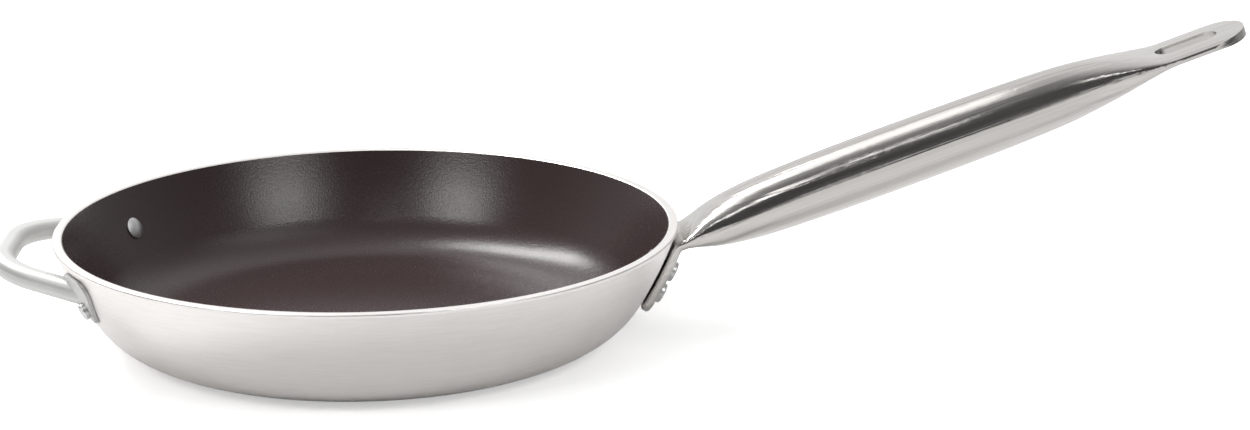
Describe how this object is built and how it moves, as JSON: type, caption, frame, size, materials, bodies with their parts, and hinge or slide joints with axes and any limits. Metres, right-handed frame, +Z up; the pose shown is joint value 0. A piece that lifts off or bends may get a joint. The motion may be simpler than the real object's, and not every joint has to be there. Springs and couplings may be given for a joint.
{
  "type": "omelette pan",
  "caption": "Flared round frying pan with a nonstick lining, a long tubular handle with a hanging slot and a small loop handle opposite, both riveted on.",
  "frame": {"origin": "centre of the base's underside, on the surface that the pan rests on", "axes": "+Z up, +X along the long handle, +Y across the pan"},
  "size_m": [0.724, 0.36, 0.1771],
  "materials": {
    "pan_metal": "satin, lightly brushed around",
    "coating": "dark semi-gloss nonstick with a fine orange-peel texture",
    "handle_steel": "polished, brushed along its length",
    "helper_steel": "satin",
    "rivet_metal": "satin"
  },
  "bodies": {
    "root": {"pan_body": "pan_metal", "nonstick_coating": "coating", "long_handle": "handle_steel", "helper_handle": "helper_steel", "long_handle_rivet_upper": "rivet_metal", "long_handle_rivet_lower": "rivet_metal", "helper_handle_rivet_left": "rivet_metal", "helper_handle_rivet_right": "rivet_metal"}
  },
  "joints": []
}
